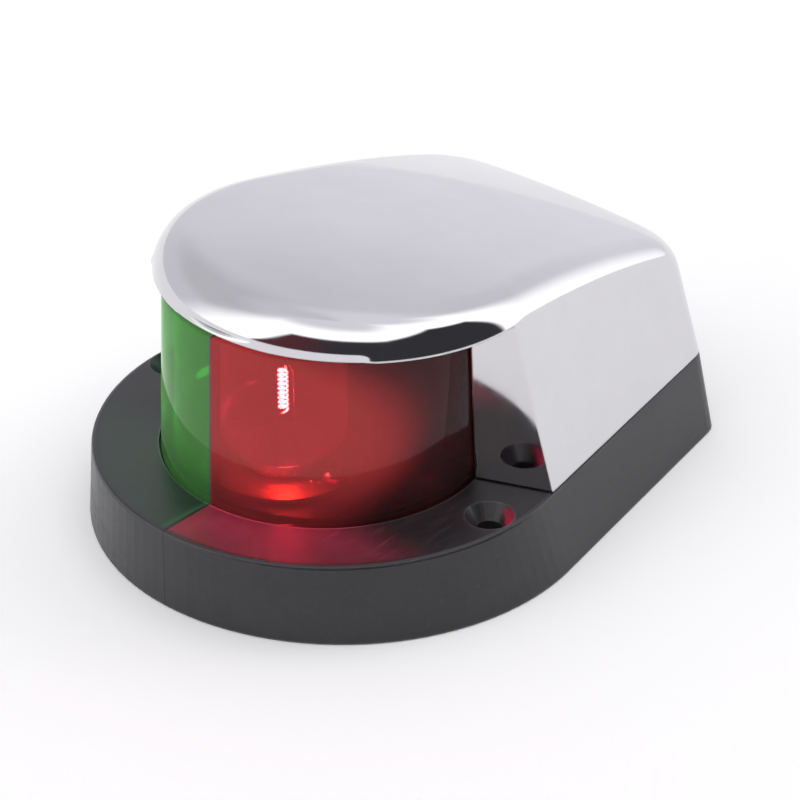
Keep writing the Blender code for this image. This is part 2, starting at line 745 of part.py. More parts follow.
def make_envelope():
    """Glass envelope, thin all over and open at the neck inside the cap."""
    wall = GLASS_WALL
    top = GLASS_TOP
    bore = GLASS_R - wall
    outside = ((NECK_R, NECK_LOW), (NECK_R, CAP_TOP + 0.4), (9.2, 18.9), (10.4, 20.0),
               (GLASS_R, 22.2), (GLASS_R, top - 8.0), (10.5, top - 5.2), (9.0, top - 2.8),
               (6.4, top - 1.0), (3.2, top - 0.2), (0.0, top))
    inside = ((0.0, top - wall), (3.1, top - 0.2 - wall), (6.1, top - 1.7), (8.5, top - 3.3),
              (9.8, top - 5.5), (bore, top - 8.1), (bore, 22.4), (9.9, 20.6), (9.0, 19.7),
              (NECK_R - wall, 19.2), (NECK_R - wall, NECK_LOW))
    points = outside + inside
    return turned("bulb_glass", points + (points[0],), "bulb_glass")


def make_cap():
    """Bayonet cap with its two locking pins."""
    inner = CAP_R - CAP_WALL
    cap = turned("bulb_cap", ((0.0, CAP_LOW), (inner - 0.6, CAP_LOW), (CAP_R, CAP_LOW + 1.0),
                              (CAP_R, CAP_TOP), (inner, CAP_TOP), (inner, CAP_LOW + 1.2),
                              (0.0, CAP_LOW + 1.2)), "bulb_cap")
    for side in (1, -1):
        pin = cylinder("pin", 0.0, 0.0, inner + 0.1, PIN_REACH, PIN_R, cutter=True)
        for vertex in pin.data.vertices:
            co = vertex.co.copy()
            vertex.co = Vector((side * co.z, co.y, co.x + PIN_Z * MM))
        weld(pin, 0.000001)
        boolean(cap, pin, "UNION")
    return finish(cap, "bulb_cap")


def make_filament(y):
    """Upright coil between two stiff wires that stand in the cap."""
    low = CAP_LOW + 1.6
    near, far = POST_X
    start = [(near, low), (near, COIL_LOW - 3.5), (-1.2, COIL_LOW - 1.6), (0.0, COIL_LOW - 0.7)]
    end = [(0.6, COIL_HIGH + 1.0), (1.8, COIL_HIGH + 1.4), (far, COIL_HIGH + 0.4), (far, low)]
    points = [Vector((x, y, z)) for x, z in start]
    points += helix(COIL_R, COIL_LOW, COIL_HIGH, COIL_TURNS, COIL_TURNS * COIL_STEPS, y)
    points += [Vector((x, y, z)) for x, z in end]
    return wire("bulb_filament", points, WIRE_R, "bulb_filament")


def wire(name, points, radius, look):
    curve = bpy.data.curves.new(name, "CURVE")
    curve.dimensions = "3D"
    curve.bevel_depth = radius * MM
    curve.bevel_resolution = 1
    curve.use_fill_caps = True
    spline = curve.splines.new("POLY")
    spline.points.add(len(points) - 1)
    for target, point in zip(spline.points, points):
        target.co = (*(point * MM), 1.0)
    holder = bpy.data.objects.new(name, curve)
    PARTS.objects.link(holder)
    graph = bpy.context.evaluated_depsgraph_get()
    mesh = bpy.data.meshes.new_from_object(holder.evaluated_get(graph))
    bpy.data.objects.remove(holder, do_unlink=True)
    obj = link(mesh, name)
    weld(obj, 0.000001)
    return finish(obj, look)


# ------------------------------------------------------------------ fixings
def pan_screw(name, x, y, seat, head_r, head_h, shank_r, length, up, slot):
    """Pan-head screw whose head lies on `seat`; `up` is +1 when the shank points up."""
    profile = [(0.0, -head_h), (head_r * 0.55, -head_h), (head_r * 0.9, -head_h * 0.7),
               (head_r, -head_h * 0.3), (head_r, 0.0), (shank_r, 0.0), (shank_r, length - 1.0),
               (shank_r * 0.4, length), (0.0, length)]
    screw = turned(name, [(r, seat + up * z) for r, z in profile], "steel")
    shift(screw, x, y)
    top = seat - up * head_h
    for half in ((slot, SLOT_HALF), (SLOT_HALF, slot)):
        low, high = sorted((top - up * head_h * 0.4, top + up * head_h * 0.4))
        boolean(screw, box("cross", (x - half[0], y - half[1], low), (x + half[0], y + half[1], high),
                           cutter=True))
    return finish(screw, "steel")


def make_fixings():
    y = fore(-HOOD_SCREW_AFT)
    washer_low = SCREW_SEAT - HOOD_GAP - WASHER_H
    inner = SCREW_R + THREAD_PLAY
    outer = SCREW_HEAD_R + 0.8
    for word, side in (("port", 1), ("starboard", -1)):
        x = side * HOOD_SCREW_X
        pan_screw("hood_screw_" + word, x, y, washer_low - HOOD_GAP, SCREW_HEAD_R, SCREW_HEAD_H,
                  SCREW_R, SCREW_LENGTH, 1, SCREW_SLOT)
        ring = ((inner, washer_low), (outer, washer_low), (outer, washer_low + WASHER_H),
                (inner, washer_low + WASHER_H))
        finish(revolve("hood_washer_" + word, ring, x, y), "steel")
        pan_screw("socket_screw_" + word, side * FOOT_SCREW_X, fore(LAMP_FORE),
                  FLANGE_TOP + HOOD_GAP, FOOT_HEAD_R, FOOT_HEAD_H, FOOT_SCREW_R,
                  FOOT_SCREW_LENGTH, -1, FOOT_SCREW_R)


def make_grommet():
    barrel = LEAD_HOLE_R - HOOD_GAP
    low = DECK_Z + HOOD_GAP
    lip = LEAD_HOLE_R + GROMMET_LIP
    top = low + GROMMET_H
    profile = ((LEAD_R, GROMMET_FOOT), (barrel, GROMMET_FOOT), (barrel, low), (lip, low),
               (lip, top - 0.5), (lip - 0.6, top), (LEAD_R, top))
    finish(revolve("wire_grommet", profile, 0.0, fore(-LEAD_AFT)), "wire_grommet")


# ------------------------------------------------------------------ build
clear_scene()
PARTS = collection(NAME)
CUTTERS = collection(NAME + "_cutters")
make_base()
make_gasket()
make_hood()
make_lens()
make_seals()
make_socket()
make_screen()
make_bulb()
make_fixings()
make_grommet()
for cutter_object in list(CUTTERS.objects):
    bpy.data.objects.remove(cutter_object, do_unlink=True)
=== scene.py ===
"""Looks of the bow navigation light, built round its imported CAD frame. Metres; the bow is -Y, port is +X."""
import math

import bmesh
import bpy
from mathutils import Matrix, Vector
from mathutils.bvhtree import BVHTree


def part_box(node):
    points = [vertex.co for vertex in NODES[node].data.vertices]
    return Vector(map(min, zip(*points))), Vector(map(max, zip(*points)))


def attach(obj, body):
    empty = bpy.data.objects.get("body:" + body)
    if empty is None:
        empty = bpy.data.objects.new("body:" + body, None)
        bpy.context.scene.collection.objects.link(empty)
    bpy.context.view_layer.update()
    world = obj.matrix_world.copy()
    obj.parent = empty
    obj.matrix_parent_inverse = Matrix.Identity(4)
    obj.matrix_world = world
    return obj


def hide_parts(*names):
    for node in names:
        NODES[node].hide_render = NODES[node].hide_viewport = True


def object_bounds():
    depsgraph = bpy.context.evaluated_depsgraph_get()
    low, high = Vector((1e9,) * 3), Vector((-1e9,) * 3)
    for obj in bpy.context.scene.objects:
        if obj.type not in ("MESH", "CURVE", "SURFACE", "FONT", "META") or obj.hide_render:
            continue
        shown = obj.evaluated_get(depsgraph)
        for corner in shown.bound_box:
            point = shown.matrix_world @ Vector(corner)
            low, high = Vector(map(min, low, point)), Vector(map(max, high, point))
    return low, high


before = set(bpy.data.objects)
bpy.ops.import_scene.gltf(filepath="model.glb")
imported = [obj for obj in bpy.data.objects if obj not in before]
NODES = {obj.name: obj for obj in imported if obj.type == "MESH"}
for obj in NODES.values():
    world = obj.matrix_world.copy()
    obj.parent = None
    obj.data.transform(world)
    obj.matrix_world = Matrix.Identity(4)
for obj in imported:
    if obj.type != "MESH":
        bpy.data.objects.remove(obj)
CAD_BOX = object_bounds()
MM = 0.001


# ------------------------------------------------------------------ node helpers
class Graph:
    """Short way to write a node tree."""

    def __init__(self, tree):
        self.tree = tree
        tree.nodes.clear()

    def add(self, kind, **settings):
        node = self.tree.nodes.new(kind)
        for key, value in settings.items():
            setattr(node, key, value)
        return node

    def put(self, socket, value):
        if isinstance(value, bpy.types.NodeSocket):
            self.tree.links.new(value, socket)
        elif isinstance(value, (tuple, list)) and len(value) == 3 and socket.type == "RGBA":
            socket.default_value = (*value, 1.0)
        else:
            socket.default_value = value

    def math(self, operation, *values, clamp=False):
        node = self.add("ShaderNodeMath", operation=operation, use_clamp=clamp)
        for socket, value in zip(node.inputs, values):
            self.put(socket, value)
        return node.outputs[0]

    def vector(self, operation, *values):
        node = self.add("ShaderNodeVectorMath", operation=operation)
        for socket, value in zip(node.inputs, values):
            self.put(socket, value)
        out = "Value" if operation in ("DOT_PRODUCT", "LENGTH", "DISTANCE") else "Vector"
        return node.outputs[out]

    def hypot(self, a, b):
        squares = self.math("ADD", self.math("MULTIPLY", a, a), self.math("MULTIPLY", b, b))
        return self.math("SQRT", squares)

    def mix(self, factor, a, b):
        node = self.add("ShaderNodeMix", data_type="RGBA")
        self.put(node.inputs[0], factor)
        self.put(node.inputs[6], a)
        self.put(node.inputs[7], b)
        return node.outputs[2]

    def ramp(self, value, low, high, start=0.0, end=1.0, smooth=False):
        node = self.add("ShaderNodeMapRange", clamp=True)
        if smooth:
            node.interpolation_type = "SMOOTHSTEP"
        for key, item in (("Value", value), ("From Min", low), ("From Max", high),
                          ("To Min", start), ("To Max", end)):
            self.put(node.inputs[key], item)
        return node.outputs[0]

    def place(self):
        return self.add("ShaderNodeTexCoord").outputs["Object"]

    def split(self, vector):
        node = self.add("ShaderNodeSeparateXYZ")
        self.put(node.inputs[0], vector)
        return tuple(node.outputs)

    def noise(self, scale, detail=3.0, rough=0.55, stretch=None, warp=0.0):
        node = self.add("ShaderNodeTexNoise")
        where = self.place()
        if stretch:
            mapping = self.add("ShaderNodeMapping")
            self.put(mapping.inputs["Vector"], where)
            mapping.inputs["Scale"].default_value = stretch
            where = mapping.outputs[0]
        self.put(node.inputs["Vector"], where)
        node.inputs["Scale"].default_value = scale
        node.inputs["Detail"].default_value = detail
        node.inputs["Roughness"].default_value = rough
        node.inputs["Distortion"].default_value = warp
        return node.outputs[0]

    def cells(self, scale):
        node = self.add("ShaderNodeTexVoronoi", feature="F1")
        self.put(node.inputs["Vector"], self.place())
        node.inputs["Scale"].default_value = scale
        return node.outputs["Distance"]

    def bump(self, height, distance, strength, under=None):
        node = self.add("ShaderNodeBump")
        node.inputs["Strength"].default_value = strength
        node.inputs["Distance"].default_value = distance
        self.put(node.inputs["Height"], height)
        if under is not None:
            self.put(node.inputs["Normal"], under)
        return node.outputs[0]

    def rounded(self, radius):
        bevel = self.add("ShaderNodeBevel", samples=8)
        self.put(bevel.inputs["Radius"], radius)
        return bevel.outputs[0]

    def edges(self, radius):
        """1 on edges and near corners, 0 on open surface."""
        bevel = self.add("ShaderNodeBevel", samples=6)
        bevel.inputs["Radius"].default_value = radius
        geometry = self.add("ShaderNodeNewGeometry")
        cosine = self.vector("DOT_PRODUCT", bevel.outputs[0], geometry.outputs["Normal"])
        return self.ramp(cosine, 0.995, 0.90)

    def surface(self, shader):
        out = self.add("ShaderNodeOutputMaterial")
        self.tree.links.new(shader, out.inputs["Surface"])

    def principled(self, **values):
        node = self.add("ShaderNodeBsdfPrincipled")
        for key, value in values.items():
            self.put(node.inputs[key.replace("_", " ")], value)
        return node


def material(name):
    made = bpy.data.materials.new(name)
    made.use_nodes = True
    return made, Graph(made.node_tree)


# ------------------------------------------------------------------ materials
# Lengths in this section are in metres.
LENS_MILK = 0.36           # share of the lens's milky colour, seen square on
# strength of the painted glow on the lenses, which stands in for lamp light scattered in the plastic
LENS_PAINTED_GLOW = 0.5
LAMP_GLOW = 0.4
WIRE_GLOW = 190.0
LAMP_SPOT = (0.0, -0.0248, 0.029)
PAINTED_GLOW_REACH = 0.0287        # the lens's painted glow ends this far from the lamp
PAINTED_GLOW_FULL = 0.0238         # and is whole this near to it
PAINTED_GLOW_FOOT = 0.0165         # it is weakest up to this height
PAINTED_GLOW_BODY = 0.0275         # and whole from this one
PAINTED_GLOW_LOW_SHARE = 0.25
GRAZING_POWER = 5.0
COIL_RADIUS = 0.0014       # the hot part of the wire lies inside this
COIL_CORE = 0.0011
COIL_REACH = 0.0050        # and this far up and down from the lamp's middle
COIL_HALF = 0.0042
SEAM_LINE = 0.00014        # half width of the moulding seam at the bow
SEAM_CORE = 0.00004
SEAM_COLOUR = (0.008, 0.008, 0.008)
NYLON_DARK = (0.018, 0.0175, 0.0195)
NYLON_PALE = (0.027, 0.026, 0.029)
NYLON_SCUFF = (0.06, 0.058, 0.06)
NYLON_EDGE = (0.16, 0.155, 0.16)
NYLON_DUST = (0.35, 0.33, 0.32)
CHROME_DARK = (0.645, 0.64, 0.66)
CHROME_PALE = (0.675, 0.67, 0.69)
CHROME_PIT = (0.30, 0.28, 0.26)


def chrome():
    made, g = material("chrome")
    haze = g.noise(90.0, 4.0, 0.6)
    smear = g.noise(260.0, 3.0, 0.6, stretch=(1.0, 0.35, 1.0), warp=0.6)
    pits = g.ramp(g.cells(900.0), 0.06, 0.0)
    pits = g.math("MULTIPLY", pits, g.ramp(g.noise(70.0, 2.0), 0.56, 0.66))
    worn = g.math("MULTIPLY", g.edges(0.0005), g.ramp(g.noise(700.0), 0.45, 0.62))
    rough = g.math("ADD", g.ramp(haze, 0.35, 0.7, 0.045, 0.085), g.ramp(smear, 0.5, 0.75, 0.0, 0.035))
    rough = g.math("ADD", rough, g.math("MULTIPLY", worn, 0.14))
    rough = g.math("ADD", rough, g.math("MULTIPLY", pits, 0.3), clamp=True)
    tone = g.mix(g.ramp(haze, 0.3, 0.7), CHROME_DARK, CHROME_PALE)
    tone = g.mix(g.math("MULTIPLY", pits, 0.6), tone, CHROME_PIT)
    peel = g.bump(g.noise(160.0, 2.0), 0.00005, 0.10, g.rounded(0.0005))
    peel = g.bump(pits, 0.00004, 0.5, peel)
    shader = g.principled(Base_Color=tone, Metallic=1.0, Roughness=rough, Normal=peel)
    g.surface(shader.outputs[0])
    return made


def black_nylon(name="black_nylon", seam=True):
    made, g = material(name)
    grain = g.noise(5200.0, 2.0, 0.6)
    cloud = g.noise(120.0, 4.0, 0.6)
    scuff = g.noise(900.0, 3.0, 0.65, stretch=(1.0, 0.12, 1.0), warp=0.4)
    edge = g.edges(0.0006)
    dust = g.ramp(g.cells(1500.0), 0.045, 0.0)
    dust = g.math("MULTIPLY", dust, g.ramp(g.noise(230.0), 0.5, 0.62))
    tone = g.mix(g.ramp(cloud, 0.3, 0.7), NYLON_DARK, NYLON_PALE)
    tone = g.mix(g.math("MULTIPLY", g.ramp(scuff, 0.58, 0.75), 0.35), tone, NYLON_SCUFF)
    tone = g.mix(g.math("MULTIPLY", edge, 0.5), tone, NYLON_EDGE)
    tone = g.mix(g.math("MULTIPLY", dust, 0.6), tone, NYLON_DUST)
    rough = g.math("ADD", g.ramp(cloud, 0.3, 0.7, 0.30, 0.40), g.ramp(scuff, 0.5, 0.75, 0.0, 0.12))
    normal = g.bump(grain, 0.00003, 0.35)
    normal = g.bump(scuff, 0.00004, 0.15, normal)
    if seam:
        x, y, _ = g.split(g.place())
        line = g.math("MULTIPLY", g.ramp(g.math("ABSOLUTE", x), SEAM_LINE, SEAM_CORE),
                      g.ramp(y, -0.046, -0.0475))
        tone = g.mix(g.math("MULTIPLY", line, 0.8), tone, SEAM_COLOUR)
        normal = g.bump(line, 0.0001, 0.8, normal)
    shader = g.principled(Base_Color=tone, Roughness=rough, Normal=normal, Specular_IOR_Level=0.5)
    g.surface(shader.outputs[0])
    return made


def rubber():
    made, g = material("rubber")
    grain = g.noise(3800.0, 4.0, 0.7)
    bloom = g.noise(200.0, 4.0, 0.6)
    tone = g.mix(g.ramp(bloom, 0.35, 0.7), (0.018, 0.018, 0.018), (0.045, 0.044, 0.042))
    tone = g.mix(g.math("MULTIPLY", g.edges(0.0004), 0.4), tone, (0.08, 0.08, 0.08))
    rough = g.ramp(bloom, 0.3, 0.7, 0.72, 0.92)
    normal = g.bump(grain, 0.00006, 0.5)
    shader = g.principled(Base_Color=tone, Roughness=rough, Normal=normal)
    g.surface(shader.outputs[0])
    return made


def metal(name, light, dark, rough_low, rough_high, brushed=(1.0, 1.0, 1.0)):
    made, g = material(name)
    cloud = g.noise(500.0, 4.0, 0.6)
    brush = g.noise(2600.0, 3.0, 0.7, stretch=brushed)
    tone = g.mix(g.ramp(cloud, 0.35, 0.68), light, dark)
    tone = g.mix(g.math("MULTIPLY", g.edges(0.00025), 0.5), tone, light)
    rough = g.math("ADD", g.ramp(cloud, 0.3, 0.7, rough_low, rough_high),
                   g.ramp(brush, 0.4, 0.7, 0.0, 0.08))
    normal = g.bump(brush, 0.00001, 0.35)
    shader = g.principled(Base_Color=tone, Metallic=1.0, Roughness=rough, Normal=normal)
    g.surface(shader.outputs[0])
    return made


def lens_plastic(name, tint, body, deep, painted_glow_colour):
    """Clear coloured plastic over a little milky colour, with a painted glow near the lamp that stands in for
    the lamp lighting it up from close behind.
    """
    made, g = material(name)
    cloud = g.noise(150.0, 3.0, 0.6)
    scratch = g.noise(1500.0, 2.0, 0.7, stretch=(1.0, 1.0, 0.08), warp=0.5)
    rough = g.math("ADD", g.ramp(cloud, 0.3, 0.7, 0.035, 0.07), g.ramp(scratch, 0.62, 0.8, 0.0, 0.1))
    normal = g.bump(g.noise(220.0, 2.0), 0.00008, 0.12)
    tone = g.mix(g.ramp(cloud, 0.3, 0.7), body, deep)
    through = g.add("ShaderNodeBsdfTransparent")
    through.inputs["Color"].default_value = (*tint, 1.0)
    place = g.place()
    # Painted glow: emission that grows towards the lamp and is weaker near the foot, in place of lamp light
    # scattered in the plastic.
    gap = g.vector("DISTANCE", place, LAMP_SPOT)
    low = g.ramp(g.split(place)[2], PAINTED_GLOW_FOOT, PAINTED_GLOW_BODY, PAINTED_GLOW_LOW_SHARE, 1.0, smooth=True)
    near = g.ramp(gap, PAINTED_GLOW_REACH, PAINTED_GLOW_FULL, 0.0, LENS_PAINTED_GLOW, smooth=True)
    glow = g.math("MULTIPLY", near, low)
    milky = g.principled(Base_Color=tone, Roughness=rough, Normal=normal, IOR=1.49,
                         Specular_IOR_Level=0.5, Emission_Color=painted_glow_colour, Emission_Strength=glow)
    clear = g.add("ShaderNodeMixShader")
    layer = g.add("ShaderNodeLayerWeight")
    layer.inputs["Blend"].default_value = 0.5
    g.put(layer.inputs["Normal"], normal)
    grazing = g.math("POWER", layer.outputs["Facing"], GRAZING_POWER)
    share = g.ramp(grazing, 0.0, 1.0, LENS_MILK, 1.0)
    g.put(clear.inputs[0], share)
    g.tree.links.new(through.outputs[0], clear.inputs[1])
    g.tree.links.new(milky.outputs[0], clear.inputs[2])
    g.surface(clear.outputs[0])
    return made


def lamp_glass():
    made, g = material("lamp_glass")
    frost = g.noise(700.0, 3.0, 0.6)
    glow = g.principled(Base_Color=(0.03, 0.03, 0.03), Roughness=g.ramp(frost, 0.3, 0.7, 0.08, 0.16),
                        Emission_Color=(1.0, 0.86, 0.66), Emission_Strength=LAMP_GLOW)
    through = g.add("ShaderNodeBsdfTransparent")
    mixed = g.add("ShaderNodeMixShader")
    layer = g.add("ShaderNodeLayerWeight")
    layer.inputs["Blend"].default_value = 0.35
    g.put(mixed.inputs[0], g.ramp(layer.outputs["Facing"], 0.0, 1.0, 0.08, 0.5))
    g.tree.links.new(through.outputs[0], mixed.inputs[1])
    g.tree.links.new(glow.outputs[0], mixed.inputs[2])
    g.surface(mixed.outputs[0])
    return made


def hot_wire():
    made, g = material("hot_wire")
    heat = g.noise(900.0, 2.0)
    x, y, z = g.split(g.vector("SUBTRACT", g.place(), LAMP_SPOT))
    coil = g.math("MULTIPLY", g.ramp(g.hypot(x, y), COIL_RADIUS, COIL_CORE),
                  g.ramp(g.math("ABSOLUTE", z), COIL_REACH, COIL_HALF))
    shader = g.principled(Base_Color=(0.5, 0.48, 0.45), Metallic=1.0, Roughness=0.4,
                          Emission_Color=g.mix(heat, (1.0, 0.90, 0.62), (1.0, 0.97, 0.74)),
                          Emission_Strength=g.math("MULTIPLY", coil, WIRE_GLOW))
    g.surface(shader.outputs[0])
    return made


CHROME = chrome()
NYLON = black_nylon()
SCREEN = black_nylon("screen_plastic", False)
RUBBER = rubber()
STEEL = metal("stainless", (0.66, 0.66, 0.67), (0.52, 0.52, 0.53), 0.2, 0.34)
BRASS = metal("brass", (0.78, 0.60, 0.28), (0.55, 0.40, 0.18), 0.22, 0.4)
NICKEL = metal("nickel_cap", (0.72, 0.70, 0.66), (0.60, 0.57, 0.52), 0.18, 0.3, (1.0, 1.0, 0.1))
# The last colour of each lens is its painted glow.
RED = lens_plastic("red_lens", (0.72, 0.12, 0.15), (0.105, 0.05, 0.053), (0.085, 0.041, 0.044),
                   (1.0, 0.085, 0.085))
GREEN = lens_plastic("green_lens", (0.17, 0.50, 0.15), (0.12, 0.30, 0.10), (0.10, 0.25, 0.085),
                     (0.14, 0.40, 0.10))
GLASS = lamp_glass()
WIRE = hot_wire()
BOARD = metal("phenolic", (0.20, 0.09, 0.04), (0.14, 0.06, 0.03), 0.4, 0.6)
BOARD.node_tree.nodes["Principled BSDF"].inputs["Metallic"].default_value = 0.0

LOOKS = {
    "base": NYLON, "deck_gasket": RUBBER, "hood": CHROME, "lens_red_port": RED,
    "lens_green_starboard": GREEN, "lens_joint_strip": SCREEN, "lens_seal_lower": RUBBER,
    "lens_seal_upper": RUBBER, "rear_screen": SCREEN, "lamp_socket": BRASS,
    "socket_carrier": BOARD, "socket_contact": BRASS, "socket_spring": STEEL,
    "bulb_glass": GLASS, "bulb_cap": NICKEL, "bulb_contact": BRASS, "bulb_filament": WIRE,
    "hood_screw_port": STEEL, "hood_screw_starboard": STEEL, "hood_washer_port": STEEL,
    "hood_washer_starboard": STEEL, "socket_screw_port": STEEL, "socket_screw_starboard": STEEL,
    "wire_grommet": RUBBER,
}
for node_name, look in LOOKS.items():
    node_object = NODES[node_name]
    for slot in node_object.material_slots:
        slot.material = look


# ------------------------------------------------------------------ smooth hood
# Lengths in this section and the next are in millimetres, and MM turns them into metres.
ARC_Y = -9.5
DECK_Z = 14.75             # the base's top face
FOOT_Z = 15.05             # the hood's foot
RIM_Z = 45.8
RIM_RISE = 0.026
LENS_FORE = 4.8
LENS_R = 28.6
LENS_DRAFT = 0.039
CREASE = 5.6
DOME_Z = 52.7
DOME_TILT = 0.10
DOME_X = 0.0021
DOME_Y = 0.0025
DOME_PEAK = -14.0
FITTING_PASSES = 12
HOOD_WALL = 2.2
HOOD_TOP_WALL = 2.4
HOOD_GAP = 0.3
CORE_FOOT = 8.0
HIGH = 70.0                # cutters reach up to here
PLAN_FAR = 120.0           # and plan polygons out to here
BORE_LOW = 10.0
BORE_SHORT = 0.1
POCKET_R = 24.0
STRIP_NEAR = 20.0
STRIP_FAR = 90.0
HOOD_SCREW_X = 19.0
HOOD_SCREW_AFT = 38.0
BOSS_R = 4.6
THREAD_R = 2.2
THREAD_TOP = 30.0
ROUND = 48
VISOR_ABOVE = 30.0         # vertices above this height follow the visor's slope
CUTOFF = 112.5
CUTOFF_FORE = 9.8
CREASE_ROWS = 18
DOME_ROWS = 26
SKIRT_ROWS = 14
LIP_ROWS = 10
LIP_HEIGHT = 2.4
LIP_TUCK = 0.30
LIP_BLEND = 2.0            # the roll starts this far ahead of the return walls
LIP_BELOW = -3.0
LIP_SKIN = 0.05            # the roll takes vertices this near the outer skin
HOOD_SHARP = 28.0          # degrees
SKIN_GAP = 0.03            # corners this near the uncut skin take its normals
SKIN_FACING = 0.9
SLIVER = 0.000001          # metres
ARC_STEPS = 96
SIDE_STEPS = 26
CORNER_STEPS = 20
AFT_STEPS = 16
LOW_PLAN = (42.2, 2.6, 63.0, 31.15, 4.8)
HIGH_PLAN = (34.2, -2.0, 61.0, 24.4, 10.2)


def fore(distance):
    """Y in millimetres of a point that far ahead of the bow arc's centre."""
    return ARC_Y - distance


def outline(radius, forward, aft, half, corner):
    """Plan outline: bow arc, straight side, rounded transom corner, and the mirror of it all."""
    centre_y = fore(forward)
    aft_y = fore(-aft)
    dy = aft_y - centre_y
    tangent = math.atan2(dy, half) - math.acos(radius / math.hypot(half, dy))
    side_top = Vector((radius * math.cos(tangent), centre_y + radius * math.sin(tangent)))
    along = (Vector((half, aft_y)) - side_top).normalized()
    turn = math.acos(-along.x)
    cut = corner * math.tan(turn / 2)
    start = Vector((half, aft_y)) - along * cut
    end = Vector((half - cut, aft_y))
    middle = start + Vector((-along.y, along.x)) * corner
    points = []
    for step in range(ARC_STEPS + 1):
        angle = -math.pi / 2 + (tangent + math.pi / 2) * step / ARC_STEPS
        points.append(Vector((radius * math.cos(angle), centre_y + radius * math.sin(angle))))
    for step in range(1, SIDE_STEPS + 1):
        points.append(side_top.lerp(start, step / SIDE_STEPS))
    first = math.atan2(start.y - middle.y, start.x - middle.x)
    for step in range(1, CORNER_STEPS):
        angle = first + (math.pi / 2 - first) * step / CORNER_STEPS
        points.append(middle + Vector((math.cos(angle), math.sin(angle))) * corner)
    for step in range(AFT_STEPS + 1):
        points.append(end.lerp(Vector((0.0, aft_y)), step / AFT_STEPS))
    return points + [Vector((-p.x, p.y)) for p in reversed(points[1:-1])]


def dome_height(point, drop=0.0):
    ahead = ARC_Y - point.y
    return DOME_Z - drop + DOME_TILT * ahead - DOME_X * point.x ** 2 - DOME_Y * ahead ** 2


def hood_rows(wall=0.0, drop=0.0, foot=FOOT_Z):
    """Rings up the drafted side, round the crease and in over the dome, then the dome's peak."""
    low = outline(*(LOW_PLAN[0] - wall, LOW_PLAN[1]), *(v - wall for v in LOW_PLAN[2:]))
    high = outline(*(HIGH_PLAN[0] - wall, HIGH_PLAN[1]), *(v - wall for v in HIGH_PLAN[2:]))
    count = range(len(low))

    def side_point(index, z):
        plan = low[index].lerp(high[index], (z - DECK_Z) / (RIM_Z - DECK_Z))
        return Vector((plan.x, plan.y, z))

    corners = []
    for index in count:
        z = RIM_Z
        for _ in range(FITTING_PASSES):
            z = dome_height(side_point(index, z), drop)
        corners.append(side_point(index, z))
    peak = Vector((0.0, fore(DOME_PEAK), 0.0))
    starts = []
    ends = []
    for index, corner in enumerate(corners):
        down = (side_point(index, foot) - corner).normalized()
        starts.append(corner + down * CREASE)
        inward = (Vector((peak.x, peak.y, 0.0)) - Vector((corner.x, corner.y, 0.0))).normalized()
        end = corner + inward * CREASE
        end.z = dome_height(end, drop)
        ends.append(end)
    rows = []
    for step in range(SKIRT_ROWS):
        part = step / SKIRT_ROWS
        rows.append([side_point(i, foot + (starts[i].z - foot) * part) for i in count])
    for step in range(CREASE_ROWS + 1):
        t = step / CREASE_ROWS
        rows.append([a * (1 - t) ** 2 + c * 2 * t * (1 - t) + b * t ** 2
                     for a, c, b in zip(starts, corners, ends)])
    for step in range(1, DOME_ROWS):
        part = 1.0 - step / DOME_ROWS
        row = []
        for end in ends:
            point = Vector((end.x * part, peak.y + (end.y - peak.y) * part, 0.0))
            point.z = dome_height(point, drop)
            row.append(point)
        rows.append(row)
    peak.z = dome_height(peak, drop)
    return rows, peak


def temp(mesh, name):
    obj = bpy.data.objects.new(name, mesh)
    bpy.context.scene.collection.objects.link(obj)
    return obj


def solid(bm, name):
    bmesh.ops.recalc_face_normals(bm, faces=bm.faces)
    mesh = bpy.data.meshes.new(name)
    bm.to_mesh(mesh)
    bm.free()
    return temp(mesh, name)


def skin(name, rows, peak, closed=True):
    bm = bmesh.new()
    rings = [[bm.verts.new(p * MM) for p in row] for row in rows]
    top = bm.verts.new(peak * MM)
    size = len(rings[0])
    for lower, upper in zip(rings, rings[1:]):
        for index in range(size):
            after = (index + 1) % size
            bm.faces.new((lower[index], lower[after], upper[after], upper[index]))
    for index in range(size):
        bm.faces.new((rings[-1][index], rings[-1][(index + 1) % size], top))
    if closed:
        bm.faces.new(rings[0])
    return solid(bm, name)


def prism(name, plan, low, high):
    bm = bmesh.new()
    face = bm.faces.new([bm.verts.new(Vector((p[0], p[1], low)) * MM) for p in plan])
    grown = bmesh.ops.extrude_face_region(bm, geom=[face])
    lifted = [item for item in grown["geom"] if isinstance(item, bmesh.types.BMVert)]
    bmesh.ops.translate(bm, verts=lifted, vec=(0, 0, (high - low) * MM))
    return solid(bm, name)


def drum(name, x, y, low, high, r_low, r_high=None, steps=160):
    bm = bmesh.new()
    bmesh.ops.create_cone(bm, cap_ends=True, segments=steps, radius1=r_low * MM,
                          radius2=(r_low if r_high is None else r_high) * MM,
                          depth=(high - low) * MM)
    bmesh.ops.translate(bm, verts=bm.verts, vec=Vector((x, y, (low + high) / 2)) * MM)
    return solid(bm, name)


def carve(obj, cutter, operation="DIFFERENCE"):
    mod = obj.modifiers.new("carve", "BOOLEAN")
    mod.operation = operation
    mod.solver = "EXACT"
    mod.object = cutter
    graph = bpy.context.evaluated_depsgraph_get()
    mesh = bpy.data.meshes.new_from_object(obj.evaluated_get(graph))
    obj.modifiers.clear()
    obj.data = mesh
    bpy.data.objects.remove(cutter, do_unlink=True)
    return obj


